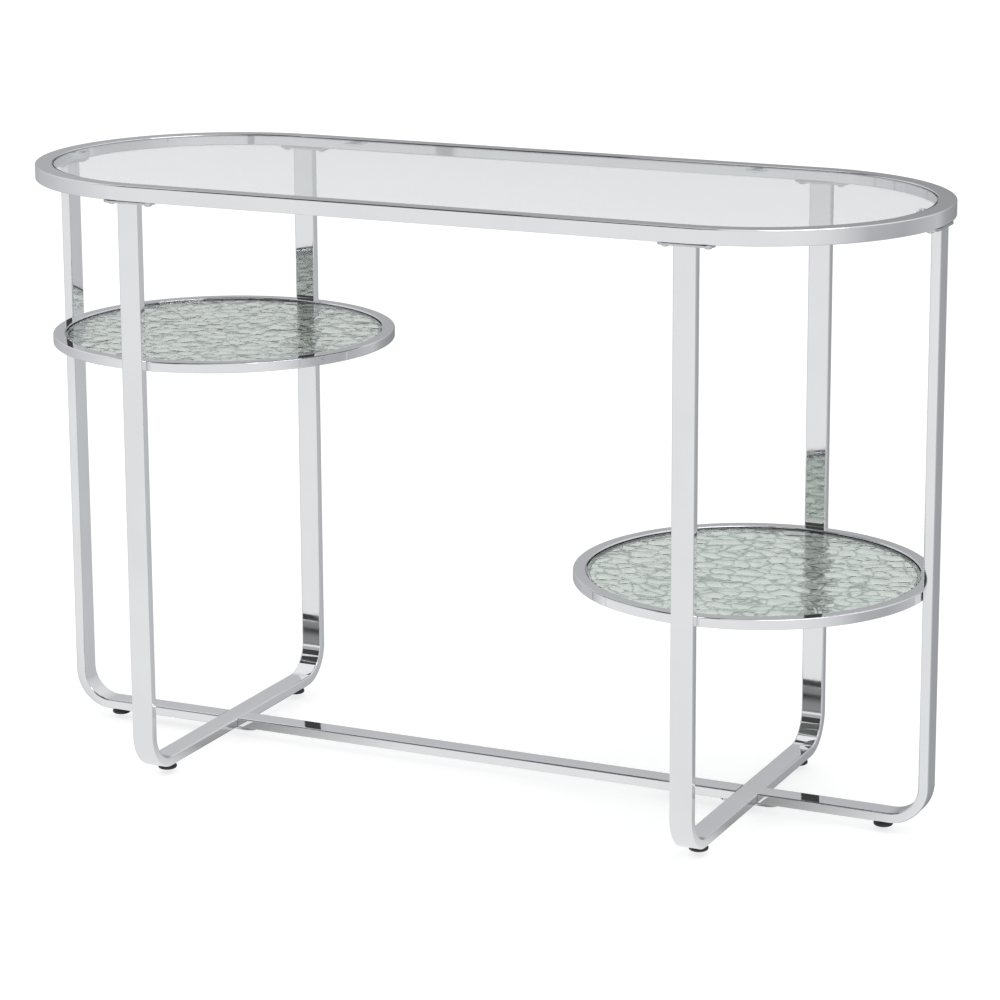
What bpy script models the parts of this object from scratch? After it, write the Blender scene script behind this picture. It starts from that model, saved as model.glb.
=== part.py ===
"""Console table: oval glass top on a chrome tube frame, with two round glass shelves.

The frame is X along the table's length, Y its depth (front is -Y) and Z up from the floor.
The left (-X) shelf is the high one. Everything is in metres.
"""
import math

import bmesh
import bpy
from mathutils import Matrix, Vector

mm = 0.001

# Overall sizes
table_length = 1.200
table_depth = 0.474
table_height = 0.762
gap = 0.3 * mm              # clearance between pieces that touch

# Top frame, glass and their supports
frame_width = 22 * mm
frame_height = 19 * mm
frame_wall = 1.2 * mm
frame_corner = 1.6 * mm
glass_edge_gap = 1.2 * mm
glass_recess = 0.8 * mm
glass_thickness = 5 * mm
bumper_head = 1.5 * mm
tab_thickness = 2 * mm

# Flat leg tube
leg_width = 28.6 * mm
leg_thickness = 12.7 * mm
leg_wall = 1.2 * mm
leg_corner = 2.0 * mm
bend_radius = 50 * mm       # outside of the bend
rail_top = 21 * mm

# Leg plates and their screws
plate_length = 70 * mm
plate_width = 20 * mm
plate_thickness = 3 * mm
plate_screw_offset = 26 * mm
cross_plate_length = 76 * mm

# Shelves
ring_radius = 219.4 * mm
ring_width = 16 * mm
ring_height = 12.5 * mm
ring_wall = 1.2 * mm
ledge_depth = 5 * mm
ledge_thickness = 2 * mm
shelf_glass_recess = 2 * mm
left_shelf_height = 0.542
right_shelf_height = 0.303
u_frame_x = 0.365

# Feet
foot_radius = 12 * mm
foot_inset = 60 * mm        # from the leg's outer face to the foot's centre
stem_radius = 4 * mm

# Worked out from the sizes above
leg_inner_y = ring_radius + gap
leg_outer_y = leg_inner_y + leg_thickness
end_inner_x = u_frame_x + ring_radius + gap
end_outer_x = end_inner_x + leg_thickness
end_radius = table_depth / 2
end_centre_x = table_length / 2 - end_radius
frame_bottom = table_height - frame_height
plate_top = frame_bottom - gap
plate_bottom = plate_top - plate_thickness
leg_top = plate_bottom - gap
rail_bottom = rail_top - leg_thickness
rail_middle = rail_bottom + leg_thickness / 2
foot_height = rail_bottom - gap
stud_radius = 2.2 * mm      # M5 thread core of the small screws
hole_clearance = 0.4 * mm
arc_steps = 24
circle_steps = 40
bend_steps = 7


def clear_scene():
    for item in list(bpy.data.objects):
        bpy.data.objects.remove(item, do_unlink=True)


def make_material(name, color, metallic, roughness, transmission=0.0):
    material = bpy.data.materials.new(name)
    material.use_nodes = True
    shader = material.node_tree.nodes["Principled BSDF"]
    shader.inputs["Base Color"].default_value = (*color, 1.0)
    shader.inputs["Metallic"].default_value = metallic
    shader.inputs["Roughness"].default_value = roughness
    shader.inputs["Transmission Weight"].default_value = transmission
    return material


def add_object(name, mesh_data, material, sharp_degrees=30, nested=False):
    """Turn a bmesh into a named object with smooth faces and sharp edges."""
    if not nested:
        bmesh.ops.recalc_face_normals(mesh_data, faces=mesh_data.faces)
    mesh = bpy.data.meshes.new(name)
    mesh_data.to_mesh(mesh)
    mesh_data.free()
    mesh.shade_smooth()
    mesh.set_sharp_from_angle(angle=math.radians(sharp_degrees))
    mesh.materials.append(material)
    item = bpy.data.objects.new(name, mesh)
    bpy.context.scene.collection.objects.link(item)
    return item


def rounded_rectangle(width, height, radius, corner_steps=2):
    """Outline of a rectangle with round corners, anticlockwise, centred on 0, 0."""
    points = []
    half_w = width / 2 - radius
    half_h = height / 2 - radius
    for index, (sx, sy) in enumerate(((1, 1), (-1, 1), (-1, -1), (1, -1))):
        for step in range(corner_steps + 1):
            angle = math.radians(90 * index + 90 * step / corner_steps)
            points.append((sx * half_w + radius * math.cos(angle), sy * half_h + radius * math.sin(angle)))
    return points


def plain_rectangle(width, height):
    """Outline of a rectangle with four corners, anticlockwise, centred on 0, 0."""
    return [(sx * width / 2, sy * height / 2) for sx, sy in ((1, 1), (-1, 1), (-1, -1), (1, -1))]


def sweep(mesh_data, stations, outline, closed):
    """Sweep an outline through stations given as (origin, u axis, v axis); returns vertex rings and faces."""
    rings = []
    faces = []
    for origin, u_axis, v_axis in stations:
        rings.append([mesh_data.verts.new(origin + u_axis * u + v_axis * v) for u, v in outline])
    count = len(outline)
    for index in range(len(rings) if closed else len(rings) - 1):
        first = rings[index]
        second = rings[(index + 1) % len(rings)]
        for corner in range(count):
            following = (corner + 1) % count
            quad = (first[corner], first[following], second[following], second[corner])
            faces.append(mesh_data.faces.new(quad))
    return rings, faces


def open_tube(stations, outer, inner):
    """Tube with open ends: outer and inner skins joined by an annulus at each end."""
    mesh_data = bmesh.new()
    outer_rings, _ = sweep(mesh_data, stations, outer, False)
    inner_rings, _ = sweep(mesh_data, stations, inner, False)
    for outer_ring, inner_ring in ((outer_rings[0], inner_rings[0]), (outer_rings[-1], inner_rings[-1])):
        for corner in range(len(outer_ring)):
            following = (corner + 1) % len(outer_ring)
            quad = (outer_ring[corner], outer_ring[following], inner_ring[following], inner_ring[corner])
            mesh_data.faces.new(quad)
    return mesh_data


def closed_tube(stations, outer, inner):
    """Tube bent into a closed loop, its inner skin facing the cavity; holes cut later open the inside."""
    mesh_data = bmesh.new()
    sweep(mesh_data, stations, outer, True)
    _, inner_faces = sweep(mesh_data, stations, inner, True)
    bmesh.ops.recalc_face_normals(mesh_data, faces=mesh_data.faces)
    bmesh.ops.reverse_faces(mesh_data, faces=inner_faces)
    return mesh_data


def turned(profile, steps, matrix=Matrix()):
    """Solid of revolution about local Z from (radius, height) points, both ends on the axis."""
    mesh_data = bmesh.new()
    rings = []
    for radius, height in profile:
        if radius == 0:
            rings.append([mesh_data.verts.new((0, 0, height))])
            continue
        ring = []
        for step in range(steps):
            angle = 2 * math.pi * step / steps
            ring.append(mesh_data.verts.new((radius * math.cos(angle), radius * math.sin(angle), height)))
        rings.append(ring)
    for first, second in zip(rings, rings[1:]):
        for step in range(steps):
            following = (step + 1) % steps
            if len(first) == 1:
                mesh_data.faces.new((first[0], second[step], second[following]))
            elif len(second) == 1:
                mesh_data.faces.new((first[step], second[0], first[following]))
            else:
                mesh_data.faces.new((first[step], second[step], second[following], first[following]))
    bmesh.ops.transform(mesh_data, matrix=matrix, verts=mesh_data.verts)
    return mesh_data


def plate_solid(outline, bottom, top):
    """Flat plate from an outline of (x, y) points."""
    mesh_data = bmesh.new()
    base = mesh_data.faces.new([mesh_data.verts.new((x, y, bottom)) for x, y in outline])
    raised = bmesh.ops.extrude_face_region(mesh_data, geom=[base])
    top_verts = [item for item in raised["geom"] if isinstance(item, bmesh.types.BMVert)]
    bmesh.ops.translate(mesh_data, verts=top_verts, vec=(0, 0, top - bottom))
    return mesh_data


def cut_holes(item, holes):
    """Cut round holes, each (centre, direction, radius, length), with one hidden cutter per piece."""
    mesh_data = bmesh.new()
    for centre, direction, radius, length in holes:
        turn = Vector(direction).to_track_quat("Z", "Y").to_matrix().to_4x4()
        place = Matrix.Translation(centre) @ turn
        bmesh.ops.create_cone(mesh_data, cap_ends=True, segments=12, radius1=radius, radius2=radius,
                              depth=length, matrix=place)
    cutter = add_object(item.name + "_cutter", mesh_data, item.data.materials[0])
    cutter.hide_render = True
    cutter.display_type = "WIRE"
    boolean = item.modifiers.new("holes", "BOOLEAN")
    boolean.operation = "DIFFERENCE"
    boolean.solver = "EXACT"
    boolean.object = cutter


# Paths ------------------------------------------------------------------------------------

def stadium_stations(inset, height):
    """Stations round the oval, each with u pointing outwards and v up."""
    stations = []
    radius = end_radius - inset
    for side in (1, -1):
        for step in range(arc_steps + 1):
            angle = math.radians(-90 + 180 * step / arc_steps)
            outward = Vector((side * math.cos(angle), side * math.sin(angle), 0))
            centre = Vector((side * end_centre_x, 0, height))
            stations.append((centre + outward * radius, outward, Vector((0, 0, 1))))
    return stations


def circle_stations(centre_x, radius, height):
    stations = []
    for step in range(circle_steps):
        angle = 2 * math.pi * step / circle_steps
        outward = Vector((math.cos(angle), math.sin(angle), 0))
        stations.append((Vector((centre_x, 0, height)) + outward * radius, outward, Vector((0, 0, 1))))
    return stations


def bend(centre, start, side):
    """Quarter bend in a vertical plane, from vertical (start direction) to level along -start."""
    radius = bend_radius - leg_thickness / 2
    stations = []
    for step in range(bend_steps + 1):
        angle = math.radians(90 * step / bend_steps)
        outward = start * math.cos(angle) + Vector((0, 0, -1)) * math.sin(angle)
        stations.append((centre + outward * radius, side, outward))
    return stations


def leg_path(outward, top_point, side):
    """Stations down one leg and round its bend; outward is the level direction away from the table."""
    centre = Vector((top_point.x, top_point.y, rail_bottom + bend_radius))
    centre = centre - outward * (bend_radius - leg_thickness / 2)
    return [(top_point, side, outward)] + bend(centre, outward, side)


# Pieces -----------------------------------------------------------------------------------

def leg_profiles():
    outer = rounded_rectangle(leg_width, leg_thickness, leg_corner)
    inner = rounded_rectangle(leg_width - 2 * leg_wall, leg_thickness - 2 * leg_wall, leg_corner - leg_wall)
    return outer, inner


def build_top_frame(material):
    outer = rounded_rectangle(frame_width, frame_height, frame_corner, 1)
    inner = plain_rectangle(frame_width - 2 * frame_wall, frame_height - 2 * frame_wall)
    stations = stadium_stations(frame_width / 2, table_height - frame_height / 2)
    frame = add_object("top_frame", closed_tube(stations, outer, inner), material, nested=True)
    holes = []
    for x, y, along in leg_positions():
        for sign in (-1, 1):
            spot = screw_spot(x, y, along, sign)
            holes.append((spot + Vector((0, 0, frame_bottom)), (0, 0, 1), stud_radius + hole_clearance, 6 * mm))
    cut_holes(frame, holes)


def leg_positions():
    """Middle of each leg's top and the direction its plate runs: U-frame legs, then end legs."""
    leg_middle_y = leg_inner_y + leg_thickness / 2
    end_middle_x = end_inner_x + leg_thickness / 2
    along_x = Vector((1, 0, 0))
    along_y = Vector((0, 1, 0))
    return ((-u_frame_x, -leg_middle_y, along_x), (-u_frame_x, leg_middle_y, along_x),
            (u_frame_x, -leg_middle_y, along_x), (u_frame_x, leg_middle_y, along_x),
            (-end_middle_x, 0, along_y), (end_middle_x, 0, along_y))


leg_names = ("front_left", "back_left", "front_right", "back_right", "end_left", "end_right")


def screw_spot(x, y, along, sign):
    """Place of a leg-plate screw, on the middle line of the frame tube."""
    spot = Vector((x, y, 0)) + along * sign * plate_screw_offset
    past_straight = abs(spot.x) - end_centre_x
    if past_straight > 0:
        centre = Vector((math.copysign(end_centre_x, spot.x), 0, 0))
        return centre + (spot - centre).normalized() * (end_radius - frame_width / 2)
    return Vector((spot.x, math.copysign(end_radius - frame_width / 2, spot.y), 0))


def build_top_glass(material):
    inset = frame_width + glass_edge_gap
    outline = [(origin.x, origin.y) for origin, outward, up in stadium_stations(inset, 0)]
    top = table_height - glass_recess
    glass = add_object("top_glass", plate_solid(outline, top - glass_thickness, top), material)
    edge = glass.modifiers.new("ground_edge", "BEVEL")
    edge.width = 0.6 * mm
    edge.segments = 1
    edge.limit_method = "ANGLE"
    edge.angle_limit = math.radians(60)


def tab_places():
    """Names, places on the frame's inner wall and inward directions of the glass supports."""
    inner = end_radius - frame_width
    tab_x = 283 * mm
    end_x = table_length / 2 - frame_width
    return (("front_left", Vector((-tab_x, -inner, 0)), Vector((0, 1, 0))),
            ("front_right", Vector((tab_x, -inner, 0)), Vector((0, 1, 0))),
            ("back_left", Vector((-tab_x, inner, 0)), Vector((0, -1, 0))),
            ("back_right", Vector((tab_x, inner, 0)), Vector((0, -1, 0))),
            ("end_left", Vector((-end_x, 0, 0)), Vector((1, 0, 0))),
            ("end_right", Vector((end_x, 0, 0)), Vector((-1, 0, 0))))


def build_glass_supports(steel, clear_plastic):
    tab_root = 30 * mm
    tab_tip = 20 * mm
    tab_depth = 14 * mm
    bumper_radius = 5 * mm
    bumper_stem = 3 * mm
    bumper_out = 7.5 * mm
    glass_bottom = table_height - glass_recess - glass_thickness
    tab_top = glass_bottom - gap - bumper_head - gap
    for name, wall, inward in tab_places():
        side = inward.cross(Vector((0, 0, 1)))
        clear = 1.2 * mm if inward.x else gap
        corners = ((clear, -tab_root / 2), (tab_depth, -tab_tip / 2), (tab_depth, tab_tip / 2),
                   (clear, tab_root / 2))
        outline = []
        for out, across in corners:
            point = wall + inward * out + side * across
            outline.append((point.x, point.y))
        tab = add_object("glass_tab_" + name, plate_solid(outline, tab_top - tab_thickness, tab_top), steel)
        centre = wall + inward * bumper_out
        hole_at = centre + Vector((0, 0, tab_top - tab_thickness / 2))
        cut_holes(tab, [(hole_at, (0, 0, 1), bumper_stem + gap, 3 * tab_thickness)])
        head_bottom = tab_top + gap
        stem_bottom = tab_top - tab_thickness - 2 * mm
        profile = ((0, stem_bottom), (bumper_stem - 0.8 * mm, stem_bottom), (bumper_stem, stem_bottom + 1 * mm),
                   (bumper_stem, head_bottom), (bumper_radius, head_bottom),
                   (bumper_radius, head_bottom + 1 * mm), (bumper_radius - 0.8 * mm, glass_bottom - gap),
                   (0, glass_bottom - gap))
        add_object("glass_bumper_" + name, turned(profile, 12, Matrix.Translation(centre)), clear_plastic)


def build_u_frames(material):
    outer, inner = leg_profiles()
    side = Vector((1, 0, 0))
    middle_y = leg_inner_y + leg_thickness / 2
    for name, x, shelf in (("left", -u_frame_x, left_shelf_height), ("right", u_frame_x, right_shelf_height)):
        front = leg_path(Vector((0, -1, 0)), Vector((x, -middle_y, leg_top)), side)
        back = leg_path(Vector((0, 1, 0)), Vector((x, middle_y, leg_top)), side)
        tube = add_object("u_frame_" + name, open_tube(front + back[::-1], outer, inner), material)
        screw_z = shelf - ring_height / 2
        holes = []
        for sign in (-1, 1):
            holes.append((Vector((x, sign * leg_inner_y, screw_z)), (0, 1, 0), 2.9 * mm, 6 * mm))
            holes.append((foot_spot_y(x, sign), (0, 0, 1), stem_radius + gap, 6 * mm))
        cut_holes(tube, holes)


def foot_spot_y(x, sign):
    return Vector((x, sign * (leg_outer_y - foot_inset), rail_bottom))


def foot_spot_x(sign):
    return Vector((sign * (end_outer_x - foot_inset), 0, rail_bottom))


def build_end_legs(material):
    outer, inner = leg_profiles()
    side = Vector((0, 1, 0))
    middle_x = end_inner_x + leg_thickness / 2
    rail_end = u_frame_x + leg_width / 2 + gap
    for name, sign, shelf in (("left", -1, left_shelf_height), ("right", 1, right_shelf_height)):
        outward = Vector((sign, 0, 0))
        stations = leg_path(outward, Vector((sign * middle_x, 0, leg_top)), side)
        stations.append((Vector((sign * rail_end, 0, rail_middle)), side, Vector((0, 0, -1))))
        leg = add_object("end_leg_" + name, open_tube(stations, outer, inner), material)
        screw_z = shelf - ring_height / 2
        holes = [(Vector((sign * end_inner_x, 0, screw_z)), (1, 0, 0), 2.9 * mm, 6 * mm),
                 (foot_spot_x(sign), (0, 0, 1), stem_radius + gap, 6 * mm),
                 (cross_screw_spot(sign, 1), (0, 0, 1), stud_radius + hole_clearance, 6 * mm)]
        cut_holes(leg, holes)


def cross_screw_spot(sign, outer_side):
    """Crossing-plate screw: outer_side 1 is into the end-leg rail, -1 into the stretcher."""
    offset = cross_plate_length / 2 - 12 * mm
    return Vector((sign * (u_frame_x + outer_side * offset), 0, rail_bottom))


def build_stretcher(material):
    outer, inner = leg_profiles()
    end = u_frame_x - leg_width / 2 - gap
    side = Vector((0, 1, 0))
    up = Vector((0, 0, 1))
    stations = [(Vector((x, 0, rail_middle)), side, up) for x in (-end, end)]
    tube = add_object("stretcher", open_tube(stations, outer, inner), material)
    hole_radius = stud_radius + hole_clearance
    cut_holes(tube, [(cross_screw_spot(sign, -1), (0, 0, 1), hole_radius, 6 * mm) for sign in (-1, 1)])


def pill_outline(length, width, along, centre, steps=6):
    """Plate outline with round ends; along is the direction of its length."""
    across = Vector((-along.y, along.x, 0))
    points = []
    for side in (1, -1):
        for step in range(steps + 1):
            angle = math.radians(-90 + 180 * step / steps)
            point = centre + along * side * (length / 2 - width / 2 + width / 2 * math.cos(angle))
            point = point + across * side * width / 2 * math.sin(angle)
            points.append((point.x, point.y))
    return points


def pan_screw(name, spot, head_top, stud_top, material):
    """Pan-head screw pointing up: the head hangs below head_top, the stud ends at stud_top."""
    head_radius = 4.6 * mm
    head_height = 2.8 * mm
    low = head_top - head_height
    profile = ((0, low), (head_radius * 0.62, low + 0.3 * mm), (head_radius, low + 1.3 * mm),
               (head_radius, head_top), (stud_radius, head_top), (stud_radius, stud_top - 0.6 * mm),
               (stud_radius - 0.6 * mm, stud_top), (0, stud_top))
    place = Matrix.Translation((spot.x, spot.y, 0))
    add_object(name, turned(profile, 10, place), material)


def build_leg_plates(plate_material, screw_material):
    for name, (x, y, along) in zip(leg_names, leg_positions()):
        middle = end_radius - frame_width / 2
        if along.x:
            centre = Vector((x, math.copysign(middle, y), 0))
        else:
            centre = Vector((math.copysign(table_length / 2 - frame_width / 2, x), 0, 0))
        outline = pill_outline(plate_length, plate_width, along, centre)
        plate = add_object("leg_plate_" + name, plate_solid(outline, plate_bottom, plate_top), plate_material)
        spots = [screw_spot(x, y, along, sign) for sign in (-1, 1)]
        middle_z = Vector((0, 0, plate_bottom + plate_thickness / 2))
        hole_radius = stud_radius + hole_clearance
        cut_holes(plate, [(spot + middle_z, (0, 0, 1), hole_radius, 3 * plate_thickness) for spot in spots])
        for number, spot in enumerate(spots, 1):
            screw_name = "leg_plate_screw_%s_%d" % (name, number)
            pan_screw(screw_name, spot, plate_bottom - gap, frame_bottom + 6 * mm, screw_material)


def build_cross_plates(plate_material, screw_material):
    top = rail_bottom - gap
    bottom = top - plate_thickness
    for name, sign in (("left", -1), ("right", 1)):
        centre = Vector((sign * u_frame_x, 0, 0))
        outline = pill_outline(cross_plate_length, leg_width - 4 * mm, Vector((1, 0, 0)), centre)
        plate = add_object("cross_plate_" + name, plate_solid(outline, bottom, top), plate_material)
        spots = [cross_screw_spot(sign, outer_side) for outer_side in (1, -1)]
        hole_radius = stud_radius + hole_clearance
        cut_holes(plate, [(spot, (0, 0, 1), hole_radius, 6 * plate_thickness) for spot in spots])
        for place, spot in zip(("outer", "inner"), spots):
            screw_name = "cross_screw_%s_%s" % (name, place)
            pan_screw(screw_name, spot, bottom - gap, rail_bottom + 6 * mm, screw_material)


def build_shelves(ring_material, glass_material, screw_material):
    half_w = ring_width / 2
    half_h = ring_height / 2
    chamfer = 0.8 * mm
    ledge_top = half_h - shelf_glass_recess - glass_thickness - gap
    ledge_bottom = ledge_top - ledge_thickness
    outer = ((-half_w, half_h - chamfer), (-half_w, ledge_top), (-half_w - ledge_depth, ledge_top),
             (-half_w - ledge_depth, ledge_bottom), (-half_w, ledge_bottom), (-half_w, -half_h + chamfer),
             (-half_w + chamfer, -half_h), (half_w - chamfer, -half_h), (half_w, -half_h + chamfer),
             (half_w, half_h - chamfer), (half_w - chamfer, half_h), (-half_w + chamfer, half_h))
    inner = plain_rectangle(ring_width - 2 * ring_wall, ring_height - 2 * ring_wall)
    shelves = (("left", -1, left_shelf_height), ("right", 1, right_shelf_height))
    for name, sign, top in shelves:
        centre_x = sign * u_frame_x
        middle_z = top - half_h
        stations = circle_stations(centre_x, ring_radius - half_w, middle_z)
        ring_body = closed_tube(stations, outer, inner)
        ring = add_object("shelf_ring_" + name, ring_body, ring_material, nested=True)
        directions = (("end", Vector((sign, 0, 0))), ("front", Vector((0, -1, 0))), ("back", Vector((0, 1, 0))))
        holes = []
        for place, outward in directions:
            wall = Vector((centre_x, 0, middle_z)) + outward * ring_radius
            holes.append((wall, outward, 2.9 * mm, 6 * mm))
            holes.append((wall - outward * (ring_width + 2 * mm), outward, 4.4 * mm, 10 * mm))
            add_shelf_screw("shelf_screw_%s_%s" % (name, place), wall, outward, screw_material)
        cut_holes(ring, holes)
        glass_radius = ring_radius - ring_width - glass_edge_gap
        glass_top = top - shelf_glass_recess
        stations = circle_stations(centre_x, glass_radius, 0)
        outline = [(origin.x, origin.y) for origin, outward, up in stations]
        add_object("shelf_glass_" + name, plate_solid(outline, glass_top - glass_thickness, glass_top),
                   glass_material)


def add_shelf_screw(name, wall, outward, material):
    """Cap screw inside the ring tube: its head bears on the outer wall, its stud enters the leg."""
    head_radius = 3.9 * mm
    head_seat = -ring_wall - gap
    head_end = head_seat - 5 * mm
    stud = 2.5 * mm
    stud_end = 8 * mm
    profile = ((0, head_end), (head_radius - 0.4 * mm, head_end), (head_radius, head_end + 0.5 * mm),
               (head_radius, head_seat), (stud, head_seat), (stud, stud_end - 0.6 * mm),
               (stud - 0.6 * mm, stud_end), (0, stud_end))
    turn = outward.to_track_quat("Z", "Y").to_matrix().to_4x4()
    add_object(name, turned(profile, 10, Matrix.Translation(wall) @ turn), material)


def build_feet(material):
    stem_top = foot_height + gap + leg_wall + 8.5 * mm
    profile = ((0, 0), (9.4 * mm, 0), (11.3 * mm, 0.8 * mm), (foot_radius, 2.6 * mm),
               (11.6 * mm, 4.6 * mm), (9.6 * mm, 6.2 * mm), (9.0 * mm, foot_height), (stem_radius, foot_height),
               (stem_radius, stem_top - 1 * mm), (stem_radius - 1 * mm, stem_top), (0, stem_top))
    spots = [foot_spot_y(-u_frame_x, -1), foot_spot_y(-u_frame_x, 1), foot_spot_y(u_frame_x, -1),
             foot_spot_y(u_frame_x, 1), foot_spot_x(-1), foot_spot_x(1)]
    for name, spot in zip(leg_names, spots):
        foot = add_object("foot_" + name, turned(profile, 14), material)
        foot.location = (spot.x, spot.y, 0)


def main():
    clear_scene()
    chrome = make_material("chrome", (0.80, 0.81, 0.83), 1.0, 0.06)
    zinc = make_material("zinc", (0.62, 0.63, 0.64), 1.0, 0.30)
    clear_glass = make_material("clear_glass", (0.93, 0.97, 0.96), 0.0, 0.02, 1.0)
    ripple_glass = make_material("ripple_glass", (0.78, 0.84, 0.82), 0.0, 0.08, 0.9)
    clear_plastic = make_material("clear_plastic", (0.90, 0.92, 0.92), 0.0, 0.25, 0.7)
    black_plastic = make_material("black_plastic", (0.015, 0.015, 0.016), 0.0, 0.45)
    build_top_frame(chrome)
    build_top_glass(clear_glass)
    build_glass_supports(chrome, clear_plastic)
    build_u_frames(chrome)
    build_end_legs(chrome)
    build_stretcher(chrome)
    build_leg_plates(chrome, zinc)
    build_cross_plates(chrome, zinc)
    build_shelves(chrome, ripple_glass, zinc)
    build_feet(black_plastic)


main()
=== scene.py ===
import bpy
import bmesh
import math
from mathutils import Matrix, Vector, noise


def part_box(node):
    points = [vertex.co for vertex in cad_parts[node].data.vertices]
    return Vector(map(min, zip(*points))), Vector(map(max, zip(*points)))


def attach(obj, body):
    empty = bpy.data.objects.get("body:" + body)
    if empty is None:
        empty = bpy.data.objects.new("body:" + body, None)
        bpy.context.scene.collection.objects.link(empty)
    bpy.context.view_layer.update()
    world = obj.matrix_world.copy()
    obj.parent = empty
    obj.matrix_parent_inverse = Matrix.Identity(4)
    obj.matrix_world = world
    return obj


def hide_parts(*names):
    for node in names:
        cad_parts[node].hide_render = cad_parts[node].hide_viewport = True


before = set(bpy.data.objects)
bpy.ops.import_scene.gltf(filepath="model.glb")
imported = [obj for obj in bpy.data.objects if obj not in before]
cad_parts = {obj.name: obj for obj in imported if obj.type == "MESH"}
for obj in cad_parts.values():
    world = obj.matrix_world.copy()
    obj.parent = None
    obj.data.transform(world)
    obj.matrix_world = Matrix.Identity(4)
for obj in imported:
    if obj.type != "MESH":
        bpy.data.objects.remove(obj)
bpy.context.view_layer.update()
mm = 0.001
print("frame loaded", len(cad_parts), "nodes")


def deselectAll():
    bpy.ops.object.select_all(action="DESELECT")


def activate(piece):
    deselectAll()
    piece.select_set(True)
    bpy.context.view_layer.objects.active = piece


def point(x, y, z):
    return (x * mm, y * mm, z * mm)


def leaveEdit():
    bpy.ops.object.mode_set(mode="OBJECT")


def pickVerts(piece, test):
    # selects the vertices whose place, in millimetres of the whole table, passes the test
    shape = bmesh.from_edit_mesh(piece.data)
    bpy.ops.mesh.select_all(action="DESELECT")
    bpy.ops.mesh.select_mode(type="VERT")
    for vert in shape.verts:
        place = piece.matrix_world @ vert.co
        if test(place.x / mm, place.y / mm, place.z / mm):
            vert.select = True
    shape.select_flush(True)
    bmesh.update_edit_mesh(piece.data)


def pickEdges(piece, test):
    # selects the edges whose two ends and face angle pass the test
    shape = bmesh.from_edit_mesh(piece.data)
    bpy.ops.mesh.select_all(action="DESELECT")
    bpy.ops.mesh.select_mode(type="EDGE")
    for edge in shape.edges:
        if test(edge):
            edge.select = True
    bmesh.update_edit_mesh(piece.data)


def sharpEdge(edge):
    return len(edge.link_faces) == 2 and edge.calc_face_angle(0.0) > math.radians(50)


def extrudeBy(x, y, z):
    bpy.ops.mesh.extrude_region_move(TRANSFORM_OT_translate={"value": point(x, y, z)})


def closeUp(piece):
    bpy.ops.mesh.select_mode(type="VERT")
    bpy.ops.mesh.select_all(action="SELECT")
    bpy.ops.mesh.remove_doubles(threshold=0.00001)
    bpy.ops.mesh.normals_make_consistent(inside=False)
    leaveEdit()


def finishPiece(piece, name, material, body, nodes, smoothAngle=40, weigh=True):
    piece.name = name
    piece.data.name = name
    activate(piece)
    bpy.ops.object.transform_apply(location=True, rotation=True, scale=True)
    bpy.ops.object.shade_smooth_by_angle(angle=math.radians(smoothAngle))
    if weigh:
        piece.modifiers.new("faceWeight", "WEIGHTED_NORMAL").keep_sharp = True
        bpy.ops.object.modifier_apply(modifier="faceWeight")
    piece.data.materials.clear()
    piece.data.materials.append(material)
    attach(piece, body)
    if nodes:
        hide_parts(*nodes)
    return piece


def copyPiece(source, move, turn=0.0):
    # an own mesh for every copy, moved and turned about Z in the mesh itself
    made = source.copy()
    made.data = source.data.copy()
    bpy.context.collection.objects.link(made)
    made.data.transform(Matrix.Translation(Vector(move) * mm) @ Matrix.Rotation(turn, 4, "Z"))
    return made


def latheLevels(centre, sides, levels, ribDepth=0.0):
    # a round solid drawn up level by level: (radius, height) pairs in millimetres
    radius, height = levels[0]
    deselectAll()
    bpy.ops.mesh.primitive_circle_add(
        vertices=sides, radius=radius * mm, fill_type="NGON",
        location=point(centre[0], centre[1], centre[2] + height))
    piece = bpy.context.object
    bpy.ops.object.mode_set(mode="EDIT")
    if ribDepth:
        ring = bmesh.from_edit_mesh(piece.data)
        bpy.ops.mesh.select_mode(type="VERT")
        bpy.ops.mesh.select_all(action="DESELECT")
        for vert in ring.verts:
            vert.select = vert.index % 4 < 2
        bmesh.update_edit_mesh(piece.data)
        bpy.ops.transform.resize(value=(1 - ribDepth, 1 - ribDepth, 1))
        bpy.ops.mesh.select_all(action="SELECT")
    for nextRadius, nextHeight in levels[1:]:
        extrudeBy(0, 0, nextHeight - height)
        scale = nextRadius / radius
        bpy.ops.transform.resize(value=(scale, scale, 1))
        radius, height = nextRadius, nextHeight
    closeUp(piece)
    return piece


def bendTube(start, rotation, size, corner, path, closed=False):
    # a rectangular tube: its section is drawn once, then run and turned along the path
    deselectAll()
    bpy.ops.mesh.primitive_plane_add(size=1, location=point(*start), rotation=rotation)
    piece = bpy.context.object
    bpy.ops.object.mode_set(mode="EDIT")
    bpy.ops.transform.resize(value=[one * mm if one else 1 for one in size])
    bpy.ops.mesh.bevel(offset=corner * mm, segments=5, affect="VERTICES")
    if closed:
        bpy.ops.mesh.delete(type="ONLY_FACE")
        bpy.ops.mesh.select_all(action="SELECT")
    for step in path:
        if step[0] == "run":
            extrudeBy(*step[1])
        else:
            centre, axis, degrees, steps = step[1:]
            bpy.ops.mesh.spin(steps=steps, angle=-math.radians(degrees), center=point(*centre), axis=axis)
    closeUp(piece)
    return piece


# materials, all from nodes
def startMaterial(name):
    material = bpy.data.materials.new(name)
    material.use_nodes = True
    tree = material.node_tree
    coordinate = tree.nodes.new("ShaderNodeTexCoord")
    return material, tree, tree.nodes["Principled BSDF"], coordinate.outputs["Object"]


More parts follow.
